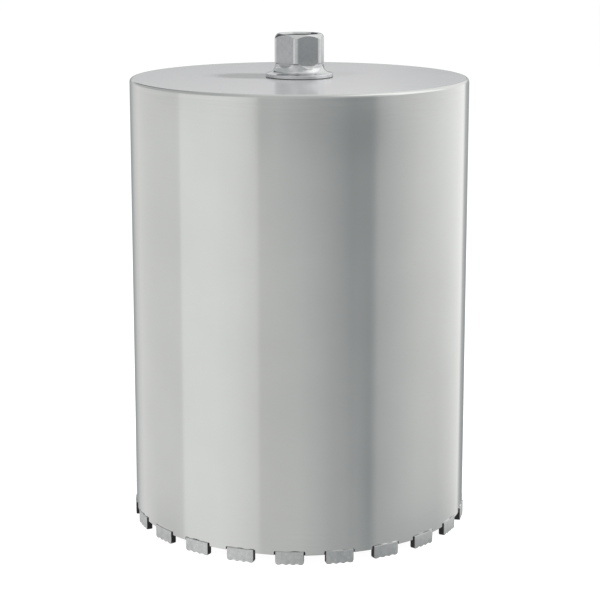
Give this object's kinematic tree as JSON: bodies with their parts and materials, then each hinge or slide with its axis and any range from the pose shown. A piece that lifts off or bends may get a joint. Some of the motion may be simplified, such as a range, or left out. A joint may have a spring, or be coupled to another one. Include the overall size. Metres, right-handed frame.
{
  "type": "diamond core bit",
  "caption": "Diamond core bit: wide thin steel barrel closed by an end plate with a threaded hexagon hub, and a ring of wavy-edged sintered cutting segments at its open end.",
  "frame": {"origin": "centre of the circle that the segments' cutting edges touch", "axes": "+Z along the spindle axis, from the cutting edges up to the hub; the picture's front side faces -Y"},
  "size_m": [0.3, 0.3, 0.4335],
  "materials": {
    "barrel_coat": "silver-grey lacquer over brushed steel, glossy",
    "plate_coat": "silver-grey lacquer over turned steel, semi-gloss",
    "hub_steel": "turned and milled, plated, satin",
    "weld_steel": "rippled weld metal",
    "segment_metal": "sintered metal powder with diamond grit, matt and grainy"
  },
  "bodies": {
    "root": {"barrel": "barrel_coat", "cap_plate": "plate_coat", "hub": "hub_steel", "hub_weld": "weld_steel", "segment_01": "segment_metal", "segment_02": "segment_metal", "segment_03": "segment_metal", "segment_04": "segment_metal", "segment_05": "segment_metal", "segment_06": "segment_metal", "segment_07": "segment_metal", "segment_08": "segment_metal", "segment_09": "segment_metal", "segment_10": "segment_metal", "segment_11": "segment_metal", "segment_12": "segment_metal", "segment_13": "segment_metal", "segment_14": "segment_metal", "segment_15": "segment_metal", "segment_16": "segment_metal", "segment_17": "segment_metal", "segment_18": "segment_metal", "segment_19": "segment_metal", "segment_20": "segment_metal", "segment_21": "segment_metal", "segment_22": "segment_metal"}
  },
  "joints": []
}
